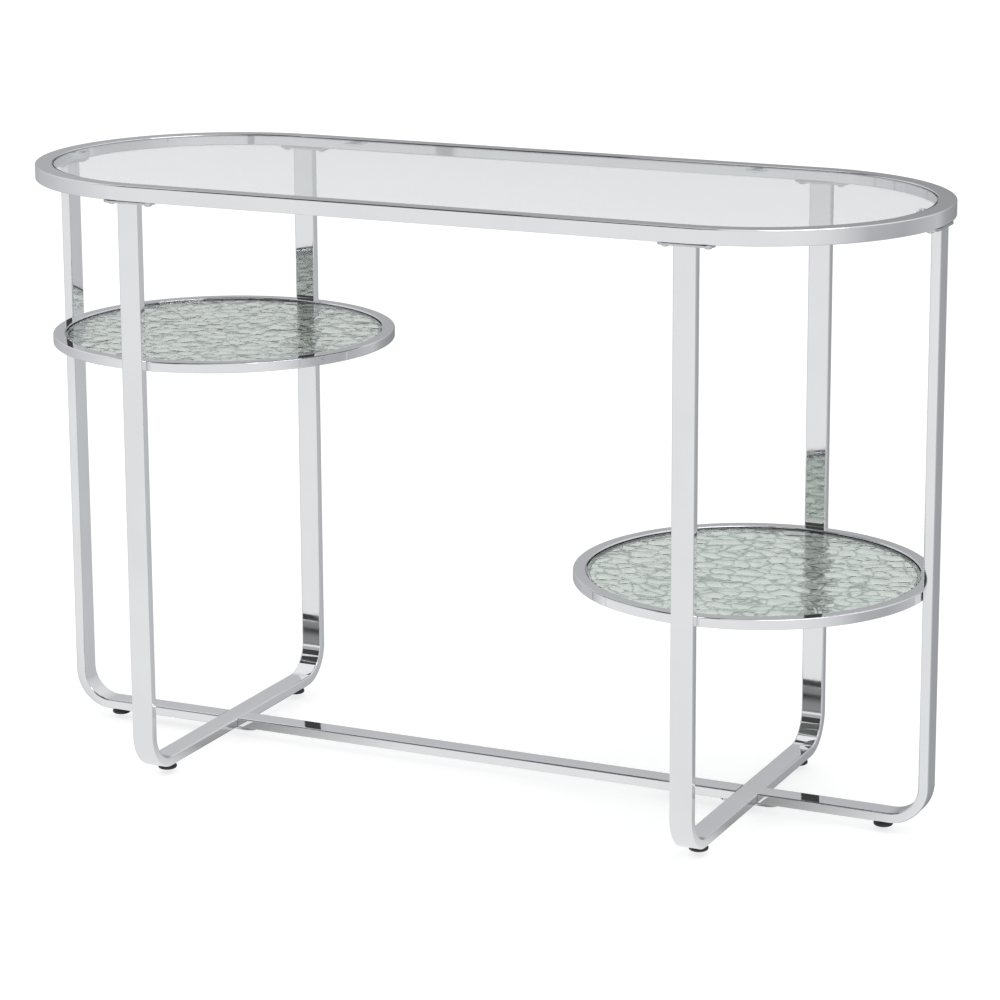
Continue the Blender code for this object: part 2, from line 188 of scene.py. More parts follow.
def noiseNode(tree, vector, scale, detail=3.0, stretch=None):
    texture = tree.nodes.new("ShaderNodeTexNoise")
    texture.inputs["Scale"].default_value = scale
    texture.inputs["Detail"].default_value = detail
    if stretch:
        mapping = tree.nodes.new("ShaderNodeMapping")
        mapping.inputs["Scale"].default_value = stretch
        tree.links.new(vector, mapping.inputs["Vector"])
        vector = mapping.outputs["Vector"]
    tree.links.new(vector, texture.inputs["Vector"])
    return texture.outputs["Fac"]


def rampNode(tree, value, stops):
    ramp = tree.nodes.new("ShaderNodeValToRGB")
    for index, (place, colour) in enumerate(stops):
        stop = ramp.color_ramp.elements[index] if index < 2 else ramp.color_ramp.elements.new(place)
        stop.position = place
        stop.color = (*colour, 1)
    tree.links.new(value, ramp.inputs["Fac"])
    return ramp.outputs["Color"]


def rangeNode(tree, value, low, high, fromLow=0.3, fromHigh=0.7):
    spread = tree.nodes.new("ShaderNodeMapRange")
    spread.inputs["From Min"].default_value = fromLow
    spread.inputs["From Max"].default_value = fromHigh
    spread.inputs["To Min"].default_value = low
    spread.inputs["To Max"].default_value = high
    tree.links.new(value, spread.inputs["Value"])
    return spread.outputs["Result"]


def bumpNode(tree, height, strength, distance, normal=None):
    bump = tree.nodes.new("ShaderNodeBump")
    bump.inputs["Strength"].default_value = strength
    bump.inputs["Distance"].default_value = distance
    tree.links.new(height, bump.inputs["Height"])
    if normal:
        tree.links.new(normal, bump.inputs["Normal"])
    return bump.outputs["Normal"]


chromeLook = {
    "dark": (0.825, 0.832, 0.845),
    "light": (0.862, 0.867, 0.877),
    "roughness": (0.025, 0.07),
    "waves": 0.00002,  # soft unevenness of the polished tube, metres
    "scratch": 0.000004,
}


def makeChrome():
    material, tree, shader, place = startMaterial("polishedChrome")
    shader.inputs["Metallic"].default_value = 1.0
    shader.inputs["IOR"].default_value = 1.5
    cloud = noiseNode(tree, place, 9, 4)
    tree.links.new(rampNode(tree, cloud, [(0.35, chromeLook["dark"]), (0.68, chromeLook["light"])]),
                   shader.inputs["Base Color"])
    haze = noiseNode(tree, place, 70, 6)
    tree.links.new(rangeNode(tree, haze, *chromeLook["roughness"]), shader.inputs["Roughness"])
    waves = bumpNode(tree, noiseNode(tree, place, 18, 2), 0.6, chromeLook["waves"])
    scratch = noiseNode(tree, place, 700, 5, (1, 1, 0.04))
    tree.links.new(bumpNode(tree, scratch, 0.35, chromeLook["scratch"], waves), shader.inputs["Normal"])
    return material


def makeZinc():
    material, tree, shader, place = startMaterial("brightZinc")
    shader.inputs["Metallic"].default_value = 1.0
    spangle = tree.nodes.new("ShaderNodeTexVoronoi")
    spangle.inputs["Scale"].default_value = 420
    tree.links.new(place, spangle.inputs["Vector"])
    shades = [(0.0, (0.56, 0.57, 0.585)), (0.8, (0.66, 0.67, 0.68))]
    tree.links.new(rampNode(tree, spangle.outputs["Distance"], shades), shader.inputs["Base Color"])
    grime = noiseNode(tree, place, 240, 5)
    tree.links.new(rangeNode(tree, grime, 0.12, 0.24), shader.inputs["Roughness"])
    tree.links.new(bumpNode(tree, grime, 0.2, 0.00001), shader.inputs["Normal"])
    return material


def makeClearGlass():
    material, tree, shader, place = startMaterial("clearTopGlass")
    shader.inputs["Transmission Weight"].default_value = 1.0
    shader.inputs["IOR"].default_value = 1.52
    cloud = noiseNode(tree, place, 7, 4)
    tree.links.new(rampNode(tree, cloud, [(0.3, (0.958, 0.980, 0.99)), (0.75, (0.972, 0.992, 1.0))]),
                   shader.inputs["Base Color"])
    tree.links.new(rangeNode(tree, noiseNode(tree, place, 30, 5), 0.0, 0.01), shader.inputs["Roughness"])
    return material


def makeRippleGlass():
    # pale green glass, with painted shade darkening it along the pressed valley lines
    material, tree, shader, place = startMaterial("rippledShelfGlass")
    shader.inputs["Transmission Weight"].default_value = 1.0
    shader.inputs["IOR"].default_value = 1.52
    # the valley attribute is the mask of the painted valley-line shade
    valley = tree.nodes.new("ShaderNodeAttribute")
    valley.attribute_name = "valley"
    cloud = noiseNode(tree, place, 60, 4)
    body = rampNode(tree, cloud, [(0.3, (0.575, 0.635, 0.585)), (0.75, (0.665, 0.72, 0.665))])
    mix = tree.nodes.new("ShaderNodeMix")
    mix.data_type = "RGBA"
    tree.links.new(valley.outputs["Fac"], mix.inputs["Factor"])
    tree.links.new(body, mix.inputs["A"])
    # this dark green, mixed in by the valley mask, is painted shade of the valley lines
    mix.inputs["B"].default_value = (0.12, 0.165, 0.15, 1)
    tree.links.new(mix.outputs["Result"], shader.inputs["Base Color"])
    tree.links.new(rangeNode(tree, noiseNode(tree, place, 30, 5), 0.0, 0.03), shader.inputs["Roughness"])
    return material


def makeGlassEdgeAndGapShade():
    # the ground rim of a pane, where the light has crossed the whole glass; coloured nearly black, which
    # is its own green edge tint together with painted shade of the gap round the pane
    material, tree, shader, place = startMaterial("groundEdgeAndPaintedGapShade")
    grain = noiseNode(tree, place, 600, 4)
    tree.links.new(rampNode(tree, grain, [(0.3, (0.004, 0.012, 0.012)), (0.75, (0.016, 0.036, 0.035))]),
                   shader.inputs["Base Color"])
    tree.links.new(rangeNode(tree, grain, 0.15, 0.4), shader.inputs["Roughness"])
    tree.links.new(bumpNode(tree, grain, 0.3, 0.00002), shader.inputs["Normal"])
    return material


def makeClearPlastic():
    material, tree, shader, place = startMaterial("clearSoftPlastic")
    shader.inputs["Transmission Weight"].default_value = 0.9
    shader.inputs["IOR"].default_value = 1.45
    cloud = noiseNode(tree, place, 300, 3)
    tree.links.new(rampNode(tree, cloud, [(0.3, (0.9, 0.93, 0.93)), (0.7, (0.97, 0.98, 0.98))]),
                   shader.inputs["Base Color"])
    tree.links.new(rangeNode(tree, cloud, 0.12, 0.24), shader.inputs["Roughness"])
    return material


def makeNylon():
    material, tree, shader, place = startMaterial("blackNylon")
    grain = noiseNode(tree, place, 900, 4)
    tree.links.new(rampNode(tree, grain, [(0.3, (0.008, 0.008, 0.009)), (0.7, (0.02, 0.02, 0.021))]),
                   shader.inputs["Base Color"])
    tree.links.new(rangeNode(tree, grain, 0.3, 0.48), shader.inputs["Roughness"])
    tree.links.new(bumpNode(tree, grain, 0.5, 0.00005), shader.inputs["Normal"])
    return material


chrome = makeChrome()
zinc = makeZinc()
clearGlass = makeClearGlass()
rippleGlass = makeRippleGlass()
glassEdgeAndGapShade = makeGlassEdgeAndGapShade()
clearPlastic = makeClearPlastic()
nylon = makeNylon()
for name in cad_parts:
    node = bpy.data.objects[name]
    finish = chrome
    if "screw" in name or "plate" in name:
        finish = zinc
    if node.material_slots:
        for slot in node.material_slots:
            slot.material = finish
    else:
        node.data.materials.append(finish)
print("materials made")


# the top frame is one closed tube, and its pane lies inside it
topFrame = {
    "endCentre": 363.0,
    "middleRadius": 226.0,
    "size": (22.0, 19.0),
    "middleHeight": 752.5,
    "corner": 1.6,
    "endSteps": 96,
}


def makeTopFrame():
    s = topFrame
    endX = s["endCentre"]
    path = [
        ("run", (endX, 0, 0)),
        ("turn", (endX, 0, 0), (0, 0, 1), 180, s["endSteps"]),
        ("run", (-2 * endX, 0, 0)),
        ("turn", (-endX, 0, 0), (0, 0, 1), 180, s["endSteps"]),
        ("run", (endX, 0, 0)),
    ]
    start = (0, -s["middleRadius"], s["middleHeight"])
    piece = bendTube(start, (0, math.radians(90), 0), (0, *s["size"]), s["corner"], path, True)
    finishPiece(piece, "topFrameTube", chrome, "table", ["top_frame"])


topPane = {"endCentre": 363.0, "radius": 213.8, "bottom": 756.2, "thick": 5.0, "edge": 0.7, "sides": 192}


def darkenRim(piece, flatness):
    # the upright faces of a pane are its ground edge, coloured with the painted gap shade
    piece.data.materials.append(glassEdgeAndGapShade)
    for face in piece.data.polygons:
        if abs(face.normal.z) < flatness:
            face.material_index = 1


def makeTopGlass():
    s = topPane
    deselectAll()
    bpy.ops.mesh.primitive_circle_add(
        vertices=s["sides"], radius=s["radius"] * mm, fill_type="NGON",
        location=point(0, 0, s["bottom"]), rotation=(0, 0, math.pi / s["sides"]))
    piece = bpy.context.object
    bpy.ops.object.mode_set(mode="EDIT")
    pickVerts(piece, lambda x, y, z: x > 0)
    bpy.ops.transform.translate(value=point(s["endCentre"], 0, 0))
    pickVerts(piece, lambda x, y, z: x < 0)
    bpy.ops.transform.translate(value=point(-s["endCentre"], 0, 0))
    bpy.ops.mesh.select_all(action="SELECT")
    extrudeBy(0, 0, s["thick"])
    pickEdges(piece, sharpEdge)
    bpy.ops.mesh.bevel(offset=s["edge"] * mm, segments=3)
    closeUp(piece)
    finishPiece(piece, "topGlassPane", clearGlass, "table", ["top_glass"])
    darkenRim(piece, 0.9)


makeTopFrame()
makeTopGlass()
print("top frame and glass made")


# tabs inside the frame carry the pane on clear bumpers
tabShape = {"wide": 30.0, "narrow": 20.0, "deep": 14.0, "thick": 2.0, "bottom": 752.1, "edge": 0.35}
tabPlaces = {
    "front_left": (-283, -215, 0), "front_right": (283, -215, 0),
    "back_left": (-283, 215, 180), "back_right": (283, 215, 180),
    "end_left": (-578, 0, -90), "end_right": (578, 0, 90),
}
bumperLevels = [(2.6, 750.1), (3.0, 750.5), (3.0, 754.1), (4.7, 754.4),
                (5.0, 754.8), (4.9, 755.3), (4.0, 755.7), (2.2, 755.9)]


def makeTabs():
    s = tabShape
    deselectAll()
    bpy.ops.mesh.primitive_plane_add(size=1, location=point(0, s["deep"] / 2, s["bottom"]))
    piece = bpy.context.object
    bpy.ops.object.mode_set(mode="EDIT")
    bpy.ops.transform.resize(value=(s["wide"] * mm, s["deep"] * mm, 1))
    pickVerts(piece, lambda x, y, z: y > s["deep"] / 2)
    bpy.ops.transform.resize(value=(s["narrow"] / s["wide"], 1, 1))
    bpy.ops.mesh.bevel(offset=3 * mm, segments=5, affect="VERTICES")
    bpy.ops.mesh.select_all(action="SELECT")
    extrudeBy(0, 0, s["thick"])
    pickEdges(piece, sharpEdge)
    bpy.ops.mesh.bevel(offset=s["edge"] * mm, segments=3)
    closeUp(piece)
    activate(piece)
    bpy.ops.object.transform_apply(location=True, rotation=True, scale=True)
    bumper = latheLevels((0, 7.5, 0), 40, bumperLevels)
    activate(bumper)
    bpy.ops.object.transform_apply(location=True, rotation=True, scale=True)
    for where, (x, y, degrees) in tabPlaces.items():
        tab = copyPiece(piece, (x, y, 0), math.radians(degrees))
        finishPiece(tab, "glassTab_" + where, chrome, "table", ["glass_tab_" + where])
        stop = copyPiece(bumper, (x, y, 0), math.radians(degrees))
        finishPiece(stop, "glassBumper_" + where, clearPlastic, "table",
                    ["glass_bumper_" + where])
    bpy.data.objects.remove(piece)
    bpy.data.objects.remove(bumper)


makeTabs()
print("glass tabs made")


# two leg frames, two end legs and the stretcher, all of one flat tube
legTube = {
    "wide": 28.6,
    "thick": 12.7,
    "corner": 2.0,
    "top": 739.4,
    "railMiddle": 14.65,
    "bend": 43.65,  # radius of the tube's middle line
    "bendSteps": 40,
    "frameX": 365.0,
    "legY": 226.05,
    "endX": 591.05,
    "endRailStop": 379.6,
    "stretcherHalf": 350.4,
}


def makeUFrame(side, sign):
    s = legTube
    low = s["railMiddle"] + s["bend"]
    turnY = s["legY"] - s["bend"]
    x = sign * s["frameX"]
    path = [
        ("run", (0, 0, low - s["top"])),
        ("turn", (x, -turnY, low), (1, 0, 0), 90, s["bendSteps"]),
        ("run", (0, 2 * turnY, 0)),
        ("turn", (x, turnY, low), (1, 0, 0), 90, s["bendSteps"]),
        ("run", (0, 0, s["top"] - low)),
    ]
    piece = bendTube((x, -s["legY"], s["top"]), (0, 0, 0), (s["wide"], s["thick"], 0), s["corner"], path)
    finishPiece(piece, "legFrame_" + side, chrome, "table", ["u_frame_" + side])


def makeEndLeg(side, sign):
    s = legTube
    low = s["railMiddle"] + s["bend"]
    turnX = s["endX"] - s["bend"]
    path = [
        ("run", (0, 0, low - s["top"])),
        ("turn", (sign * turnX, 0, low), (0, 1, 0), sign * 90, s["bendSteps"]),
        ("run", (sign * (s["endRailStop"] - turnX), 0, 0)),
    ]
    start = (sign * s["endX"], 0, s["top"])
    piece = bendTube(start, (0, 0, 0), (s["thick"], s["wide"], 0), s["corner"], path)
    finishPiece(piece, "endLeg_" + side, chrome, "table", ["end_leg_" + side])


def makeStretcher():
    s = legTube
    start = (-s["stretcherHalf"], 0, s["railMiddle"])
    path = [("run", (2 * s["stretcherHalf"], 0, 0))]
    piece = bendTube(start, (0, math.radians(90), 0), (0, s["wide"], s["thick"]), s["corner"], path)
    finishPiece(piece, "lowStretcher", chrome, "table", ["stretcher"])


for side, sign in (("left", -1), ("right", 1)):
    makeUFrame(side, sign)
    makeEndLeg(side, sign)
makeStretcher()
print("legs and rails made")


# two round shelves, each a ring with a pane of rippled glass
ringShape = {
    "middleX": 365.0,
    "outerRadius": 219.4,
    "wide": 16.0,
    "high": 12.5,
    "corner": 1.6,
    "steps": 160,
    "tops": {"left": 542.0, "right": 303.0},
    "ledgeDeep": 5.0,
    "ledgeThick": 2.0,
    "ledgeDrop": 7.3,
}


def makeRing(side, sign):
    s = ringShape
    x = sign * s["middleX"]
    top = s["tops"][side]
    middle = s["outerRadius"] - s["wide"] / 2
    turn = [("turn", (x, 0, 0), (0, 0, 1), 360, s["steps"])]
    facing = (0, math.radians(90), 0)
    start = (x, -middle, top - s["high"] / 2)
    ring = bendTube(start, facing, (0, s["wide"], s["high"]), s["corner"], turn, True)
    ledgeMiddle = s["outerRadius"] - s["wide"] - s["ledgeDeep"] / 2 + 0.5
    ledgeSize = (0, s["ledgeDeep"] + 1.0, s["ledgeThick"])
    ledgeHeight = top - s["ledgeDrop"] - s["ledgeThick"] / 2
    ledge = bendTube((x, -ledgeMiddle, ledgeHeight), facing, ledgeSize, 0.3, turn, True)
    activate(ring)
    ledge.select_set(True)
    bpy.ops.object.join()
    finishPiece(ring, "shelfRing_" + side, chrome, "table", ["shelf_ring_" + side])


shelfPane = {
    "radius": 202.2,
    "bottoms": {"left": 535.0, "right": 296.0},
    "thick": 5.0,
    "cuts": 296,
    "cell": (25.5, 21.0),  # usual size of one ripple, along and across the table
    "relief": 0.33,
    "valley": 0.22,
    "crown": 0.22,
    # width of the painted shade along the valley lines
    "line": 0.075,
    "smoothRim": 5.0,
    # how dark the valley-line shade is painted on each shelf, paler on the upper shelf than on the lower
    "paintedLineShadeStrength": {"left": 0.78, "right": 1.0},
    "seeds": {"left": (3.1, 7.7, 0.0), "right": (12.4, 2.9, 0.0)},
}


def rippleHeight(x, y, seed):
    s = shelfPane
    spot = Vector((x / s["cell"][0] + seed[0], y / s["cell"][1] + seed[1], 0.0))
    wander = noise.noise_vector(spot * 0.55) * 0.35 + noise.noise_vector(spot * 1.15) * 0.24
    spot = spot + wander + noise.noise_vector(spot * 2.6) * 0.09
    distances = noise.voronoi(spot)[0]
    gap = distances[1] - distances[0]  # nought along the valley lines
    pillow = 1.0 - math.exp(-gap / s["valley"]) + gap * s["crown"]
    # the second value is the mask of the painted valley-line shade
    return s["relief"] * (pillow - 1.0) + 0.1 * noise.noise(spot * 0.5), math.exp(-(gap / s["line"]) ** 2)


def makeShelfGlass(side, sign):
    s = shelfPane
    x0 = sign * ringShape["middleX"]
    top = s["bottoms"][side] + s["thick"]
    deselectAll()
    bpy.ops.mesh.primitive_grid_add(
        x_subdivisions=s["cuts"], y_subdivisions=s["cuts"],
        size=2 * s["radius"] * mm, location=point(x0, 0, top))
    piece = bpy.context.object
    valley = piece.data.attributes.new("valley", "FLOAT", "POINT")
    # the square grid is drawn round into a disc, then pressed with the ripples
    for vert in piece.data.vertices:
        u, w = vert.co.x / mm, vert.co.y / mm
        if abs(u) < 1e-6 and abs(w) < 1e-6:
            reach, angle = 0.0, 0.0
        elif abs(u) >= abs(w):
            reach, angle = u, math.pi / 4 * w / u
        else:
            reach, angle = w, math.pi / 2 - math.pi / 4 * u / w
        u, w = reach * math.cos(angle), reach * math.sin(angle)
        inward = s["radius"] - abs(reach)
        press = min(1.0, inward / s["smoothRim"])
        press = press * press * (3 - 2 * press)
        height, line = rippleHeight(u, w, s["seeds"][side])
        if inward < 0.01:
            height = -0.5
            press = 1.0
            line = 0.0
        vert.co = point(u, w, height * press)
        # the valley attribute holds the painted valley-line shade, scaled for each shelf
        valley.data[vert.index].value = line * press * s["paintedLineShadeStrength"][side]
    bpy.ops.object.mode_set(mode="EDIT")
    pickEdges(piece, lambda edge: len(edge.link_faces) == 1)
    extrudeBy(0, 0, 0.5 - s["thick"])
    bpy.ops.mesh.edge_face_add()
    closeUp(piece)
    finishPiece(piece, "shelfGlass_" + side, rippleGlass, "table",
                ["shelf_glass_" + side], 40, False)
    darkenRim(piece, 0.5)


for side, sign in (("left", -1), ("right", 1)):
    makeRing(side, sign)
    makeShelfGlass(side, sign)
print("shelves made")


# plates under the frame on every leg, held by two screws
plateShape = {"long": 70.0, "wide": 20.0, "thick": 3.0, "bottom": 739.7, "edge": 0.5}
legNames = {
    "front_left": (-365, -226, 0), "front_right": (365, -226, 0),
    "back_left": (-365, 226, 0), "back_right": (365, 226, 0),
    "end_left": (-589, 0, 90), "end_right": (589, 0, 90),
}


def roundPlate(long, wide, thick, edge):
    deselectAll()
    bpy.ops.mesh.primitive_circle_add(
        vertices=48, radius=wide / 2 * mm, fill_type="NGON", rotation=(0, 0, math.pi / 48))
    piece = bpy.context.object
    bpy.ops.object.mode_set(mode="EDIT")
    slide = (long - wide) / 2
    pickVerts(piece, lambda x, y, z: x > 0)
    bpy.ops.transform.translate(value=point(slide, 0, 0))
    pickVerts(piece, lambda x, y, z: x < 0)
    bpy.ops.transform.translate(value=point(-slide, 0, 0))
    bpy.ops.mesh.select_all(action="SELECT")
    extrudeBy(0, 0, thick)
    pickEdges(piece, sharpEdge)
    bpy.ops.mesh.bevel(offset=edge * mm, segments=3)
    closeUp(piece)
    activate(piece)
    bpy.ops.object.transform_apply(location=True, rotation=True, scale=True)
    return piece


screwLevels = [(1.9, 12.4), (2.2, 12.0), (2.2, 2.8), (4.5, 2.8), (4.6, 2.5),
               (4.55, 1.7), (4.1, 0.9), (3.2, 0.35), (1.9, 0.08), (0.8, 0.0)]


def makeScrew():
    # pan head screw, head down, its cross cut out by two crossed wedges
    piece = latheLevels((0, 0, 0), 40, screwLevels)
    activate(piece)
    bpy.ops.object.transform_apply(location=True, rotation=True, scale=True)
    for turned in (0, 90):
        deselectAll()
        bpy.ops.mesh.primitive_cube_add(size=1, location=(0, 0, 0), rotation=(0, 0, math.radians(turned)))
        wedge = bpy.context.object
        bpy.ops.object.mode_set(mode="EDIT")
        slot = (5.2, 1.0, 3.0) if turned == 0 else (1.0, 5.2, 3.0)
        bpy.ops.transform.resize(value=[one * mm for one in slot])
        pickVerts(wedge, lambda x, y, z: z > 0)
        bpy.ops.transform.resize(value=(0.55, 0.55, 1))
        leaveEdit()
        activate(piece)
        cut = piece.modifiers.new("cross", "BOOLEAN")
        cut.operation = "DIFFERENCE"
        cut.solver = "EXACT"
        cut.object = wedge
        bpy.ops.object.modifier_apply(modifier="cross")
        bpy.data.objects.remove(wedge)
    return piece


def makePlatesAndScrews():
    plate = roundPlate(plateShape["long"], plateShape["wide"], plateShape["thick"], plateShape["edge"])
    screw = makeScrew()
    for where, (x, y, degrees) in legNames.items():
        node = "leg_plate_" + where
        copy = copyPiece(plate, (x, y, plateShape["bottom"]), math.radians(degrees))
        finishPiece(copy, "legPlate_" + where, zinc, "table", [node])
        for number in ("1", "2"):
            screwNode = "leg_plate_screw_" + where + "_" + number
            low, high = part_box(screwNode)
            middle = (low + high) / 2 / mm
            fixed = copyPiece(screw, (middle.x, middle.y, low.z / mm), math.radians(25 + 40 * int(number)))
            finishPiece(fixed, "plateScrew_" + where + "_" + number, zinc, "table", [screwNode])
    for side in ("left", "right"):
        for end in ("outer", "inner"):
            screwNode = "cross_screw_" + side + "_" + end
            low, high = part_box(screwNode)
            middle = (low + high) / 2 / mm
            fixed = copyPiece(screw, (middle.x, middle.y, low.z / mm), math.radians(33))
            finishPiece(fixed, "crossScrew_" + side + "_" + end, zinc, "table", [screwNode])
    bpy.data.objects.remove(plate)
    bpy.data.objects.remove(screw)


crossShape = {"long": 76.0, "wide": 24.6, "thick": 3.0, "bottom": 5.0, "edge": 0.5}


def makeCrossPlates():
    s = crossShape
    plate = roundPlate(s["long"], s["wide"], s["thick"], s["edge"])
    for side, sign in (("left", -1), ("right", 1)):
        copy = copyPiece(plate, (sign * 365, 0, s["bottom"]))
        finishPiece(copy, "crossPlate_" + side, zinc, "table", ["cross_plate_" + side])
    bpy.data.objects.remove(plate)


makePlatesAndScrews()
makeCrossPlates()
print("plates and screws made")


# levelling glides, which ride on their own bodies
footLevels = [(3.0, 0.35), (8.6, 0.0), (9.6, 0.12), (11.0, 0.75), (11.8, 1.7), (12.0, 2.7), (11.9, 3.7),
              (11.3, 4.9), (10.2, 5.8), (9.3, 6.4), (9.0, 8.0), (4.0, 8.0), (4.0, 17.6)]


def makeFeet():
    foot = latheLevels((0, 0, 0), 96, footLevels, 0.035)
    activate(foot)
    bpy.ops.object.transform_apply(location=True, rotation=True, scale=True)
    for where in legNames:
        node = "foot_" + where
        low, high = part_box(node)
        middle = (low + high) / 2 / mm
        copy = copyPiece(foot, (middle.x, middle.y, low.z / mm))
        finishPiece(copy, "footGlide_" + where, nylon, "leveller_" + where, [node], 35)
    bpy.data.objects.remove(foot)


makeFeet()
print("feet made")


# floor, backdrop, cards and light
studio = {
    "floorDrop": 0.006,  # room for the glides when they are screwed out, metres
    "floorColour": 0.46,
    "floorGlow": 0.70,
    "domeFade": (5.0, 7.5),  # height over which the backdrop darkens overhead, metres
    "domeTop": 0.10,
    "cardLevel": 0.87,
    "legShade": [(0.08, (0.05,) * 3), (0.24, (0.24,) * 3), (1.0, (0.38,) * 3)],
    "railShade": [(0.0, (0.33,) * 3), (0.25, (0.46,) * 3), (1.0, (0.87,) * 3)],
    "ceilingLevel": 0.06,
}


def emissionMaterial(name, level, tint=(1, 1, 1)):
    material = bpy.data.materials.new(name)
    material.use_nodes = True
    tree = material.node_tree
    tree.nodes.remove(tree.nodes["Principled BSDF"])
    glow = tree.nodes.new("ShaderNodeEmission")
    glow.inputs["Color"].default_value = (*tint, 1)
    glow.inputs["Strength"].default_value = level
    tree.links.new(glow.outputs["Emission"], tree.nodes["Material Output"].inputs["Surface"])
    return material


def seenOnlyBy(thing, camera=False, glossy=False, transmission=False, diffuse=False, shadow=False):
    thing.visible_camera = camera
    thing.visible_glossy = glossy
    thing.visible_transmission = transmission
    thing.visible_diffuse = diffuse
    thing.visible_shadow = shadow


def card(name, low, high, height, level):
    # a flat card lying level, which only reflections see
    deselectAll()
    middle = ((low[0] + high[0]) / 2, (low[1] + high[1]) / 2, height)
    bpy.ops.mesh.primitive_plane_add(size=1, location=middle)
    made = bpy.context.object
    made.name = name
    bpy.ops.object.mode_set(mode="EDIT")
    bpy.ops.transform.resize(value=(high[0] - low[0], high[1] - low[1], 1))
    leaveEdit()
    made.data.materials.append(emissionMaterial(name, level))
    seenOnlyBy(made, glossy=True)
    return made


def mathNode(tree, operation, first, second=None):
    step = tree.nodes.new("ShaderNodeMath")
    step.operation = operation
    for socket, value in zip(step.inputs, (first, second)):
        if value is None:
            continue
        if isinstance(value, float):
            socket.default_value = value
        else:
            tree.links.new(value, socket)
    return step.outputs["Value"]


def splitPlace(tree):
    split = tree.nodes.new("ShaderNodeSeparateXYZ")
    tree.links.new(tree.nodes.new("ShaderNodeTexCoord").outputs["Object"], split.inputs["Vector"])
    return split.outputs


def coverPartly(tree, cover):
    # lets the card show only as much as the cover says
    mix = tree.nodes.new("ShaderNodeMixShader")
    tree.links.new(cover, mix.inputs["Fac"])
    tree.links.new(tree.nodes.new("ShaderNodeBsdfTransparent").outputs["BSDF"], mix.inputs[1])
    tree.links.new(tree.nodes["Emission"].outputs["Emission"], mix.inputs[2])
    tree.links.new(mix.outputs["Shader"], tree.nodes["Material Output"].inputs["Surface"])


def shadeCard(name, low, high, height, axis, stops, frontFade=0.0):
    # a strip of floor in the shade of the rails, growing lighter along one axis
    made = card(name, low, high, height, 1.0)
    tree = made.data.materials[0].node_tree
    place = splitPlace(tree)
    half = (high[0] - low[0]) / 2 if axis == "X" else (high[1] - low[1]) / 2
    across = rangeNode(tree, place[axis], 0.0, 1.0, -half, half)
    tree.links.new(rampNode(tree, across, stops), tree.nodes["Emission"].inputs["Color"])
    if frontFade:
        near = (low[1] - high[1]) / 2
        coverPartly(tree, rangeNode(tree, place["Y"], 0.0, 1.0, near, near + frontFade))


def fadeSides(made, nearEdge):
    # lets the front card die away smoothly towards both ends of the table
    tree = made.data.materials[0].node_tree
    place = splitPlace(tree)
    aside = mathNode(tree, "SUBTRACT", mathNode(tree, "ABSOLUTE", place["X"]), 0.55)
    ahead = mathNode(tree, "SUBTRACT", nearEdge, place["Y"])
    angle = mathNode(tree, "ARCTAN2", ahead, aside)
    coverPartly(tree, rangeNode(tree, angle, 0.0, 1.0, math.radians(4), math.radians(52)))


def makeStudio():
    deselectAll()
    level = (0, 0, -studio["floorDrop"])
    bpy.ops.mesh.primitive_circle_add(vertices=128, radius=16, fill_type="NGON", location=level)
    floor = bpy.context.object
    floor.name = "paleFloor"
    material, tree, shader, place = startMaterial("paleFloor")
    shade = studio["floorColour"]
    grain = noiseNode(tree, place, 3, 5)
    tree.links.new(rampNode(tree, grain, [(0.3, (shade,) * 3), (0.7, (shade + 0.012,) * 3)]),
                   shader.inputs["Base Color"])
    shader.inputs["Roughness"].default_value = 0.7
    shader.inputs["Specular IOR Level"].default_value = 0.2
    shader.inputs["Emission Color"].default_value = (1, 1, 1, 1)
    shader.inputs["Emission Strength"].default_value = studio["floorGlow"]
    floor.data.materials.append(material)
    seenOnlyBy(floor, camera=True, transmission=True, diffuse=True, shadow=True)
    deselectAll()
    bpy.ops.mesh.primitive_uv_sphere_add(segments=64, ring_count=32, radius=15)
    dome = bpy.context.object
    dome.name = "paleBackdrop"
    pale = emissionMaterial("paleBackdrop", 1.0)
    overhead = rangeNode(pale.node_tree, splitPlace(pale.node_tree)["Z"], 0.0, 1.0, *studio["domeFade"])
    shades = [(0.0, (1, 1, 1)), (1.0, (studio["domeTop"],) * 3)]
    glow = pale.node_tree.nodes["Emission"]
    pale.node_tree.links.new(rampNode(pale.node_tree, overhead, shades), glow.inputs["Color"])
    dome.data.materials.append(pale)
    seenOnlyBy(dome, camera=True, transmission=True)
    front = card("frontCard", (-7, -7), (7, -0.01), 0.001, studio["cardLevel"])
    fadeSides(front, 3.495)
    shadeCard("legShadeRight", (0.24, -0.01), (0.37, 0.13), 0.001, "Y", studio["legShade"])
    shadeCard("legShadeLeft", (-0.53, -0.01), (-0.40, 0.13), 0.001, "Y", studio["legShade"])
    shadeCard("railShadeRight", (0.375, -0.19), (0.56, -0.011), 0.0015, "X", studio["railShade"], 0.11)
    shadeCard("railShadeLeft", (-0.355, -0.19), (-0.12, -0.011), 0.0015, "X", studio["railShade"], 0.11)
    card("ceilingCard", (-2.4, -3.2), (0.25, -0.45), 2.6, studio["ceilingLevel"])
    card("backCeilingCard", (-1.35, -0.45), (-0.66, 2.9), 2.6, studio["ceilingLevel"])
    makeRoomCard()


def makeRoomCard():
    # the dark studio behind the camera, which only tilted edges catch
    deselectAll()
    bpy.ops.mesh.primitive_plane_add(size=1, location=(-2.1, -4.6, 2.1), rotation=(math.radians(90), 0, 0))
    made = bpy.context.object
    made.name = "roomCard"
    bpy.ops.object.mode_set(mode="EDIT")
    bpy.ops.transform.resize(value=(3.4, 1, 2.1))
    leaveEdit()
    made.data.materials.append(emissionMaterial("roomCard", studio["ceilingLevel"]))
    seenOnlyBy(made, glossy=True)


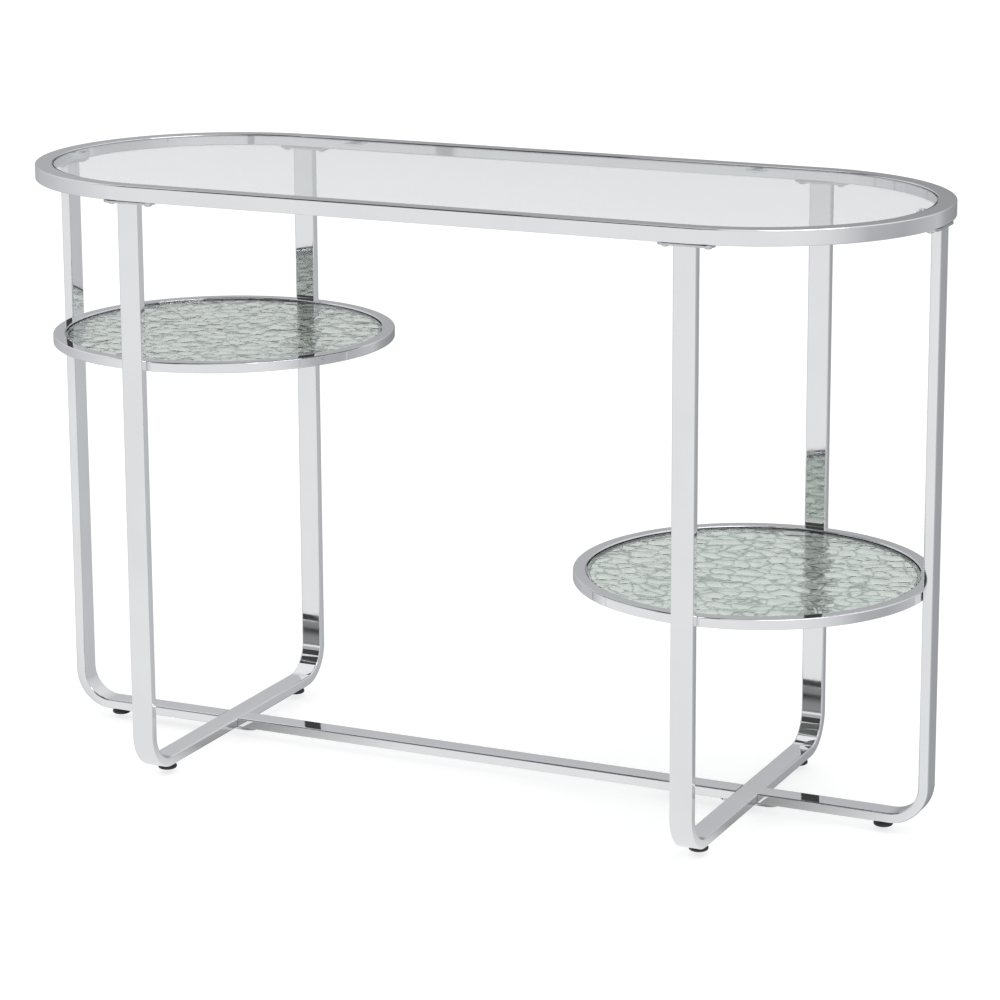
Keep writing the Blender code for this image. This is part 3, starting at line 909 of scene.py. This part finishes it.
# brightness of the room round the table, by direction in degrees from +X
roomRing = [(-180, 0.66), (-140, 0.62), (-124, 0.46), (-104, 0.46), (-60, 0.78), (-28, 0.68),
            (0, 0.50), (24, 0.46), (50, 0.56), (58, 0.58), (68, 0.41), (76, 0.36), (104, 0.27),
            (112, 0.33), (122, 0.42), (150, 0.55), (180, 0.64)]


def makeWorld():
    world = bpy.data.worlds.new("softStudio")
    bpy.context.scene.world = world
    world.use_nodes = True
    tree = world.node_tree
    place = tree.nodes.new("ShaderNodeTexCoord").outputs["Generated"]
    split = tree.nodes.new("ShaderNodeSeparateXYZ")
    tree.links.new(place, split.inputs["Vector"])
    angle = mathNode(tree, "ARCTAN2", split.outputs["Y"], split.outputs["X"])
    turn = rangeNode(tree, angle, 0.0, 1.0, -math.pi, math.pi)
    stops = [((degrees + 180) / 360, (level * 0.985, level, level * 1.035)) for degrees, level in roomRing]
    around = rampNode(tree, turn, stops)
    above = rangeNode(tree, split.outputs["Z"], 0.0, 1.0, 0.12, 0.70)
    mix = tree.nodes.new("ShaderNodeMix")
    mix.data_type = "RGBA"
    tree.links.new(above, mix.inputs["Factor"])
    tree.links.new(around, mix.inputs["A"])
    mix.inputs["B"].default_value = (0.93, 0.935, 0.95, 1)
    tree.links.new(mix.outputs["Result"], tree.nodes["Background"].inputs["Color"])


def softBox(name, place, target, size, power):
    lamp = bpy.data.lights.new(name, "AREA")
    lamp.shape = "RECTANGLE"
    lamp.size, lamp.size_y = size
    lamp.energy = power
    thing = bpy.data.objects.new(name, lamp)
    bpy.context.collection.objects.link(thing)
    thing.location = place
    thing.rotation_euler = (Vector(target) - Vector(place)).to_track_quat("-Z", "Y").to_euler()
    thing.visible_camera = False
    return thing


makeStudio()
makeWorld()
softBox("topSoftBox", (1.3, -0.6, 2.5), (0, 0, 0.4), (1.4, 0.6), 12)
bpy.context.scene.view_settings.view_transform = "Standard"
print("studio made")


# camera
cameraView = {
    "yaw": 25.023,
    "pitch": 12.801,
    "roll": 0.269,
    "place": (1.778192, -3.753195, 1.423504),
    "lens": 122.751,
    "shiftY": -0.10,
}


def makeCamera():
    s = cameraView
    yaw, pitch, roll = (math.radians(s[key]) for key in ("yaw", "pitch", "roll"))
    right = Vector((math.cos(yaw), math.sin(yaw), 0))
    forward = Vector((-math.sin(yaw) * math.cos(pitch), math.cos(yaw) * math.cos(pitch), -math.sin(pitch)))
    down = forward.cross(right)
    across = right * math.cos(roll) + down * math.sin(roll)
    down = down * math.cos(roll) - right * math.sin(roll)
    lens = bpy.data.cameras.new("productCamera")
    lens.lens = s["lens"]
    lens.sensor_width = 36
    lens.shift_y = s["shiftY"]
    camera = bpy.data.objects.new("productCamera", lens)
    bpy.context.collection.objects.link(camera)
    turned = Matrix((across, -down, -forward)).transposed().to_4x4()
    camera.matrix_world = Matrix.Translation(s["place"]) @ turned
    bpy.context.scene.camera = camera


makeCamera()
print("camera made")
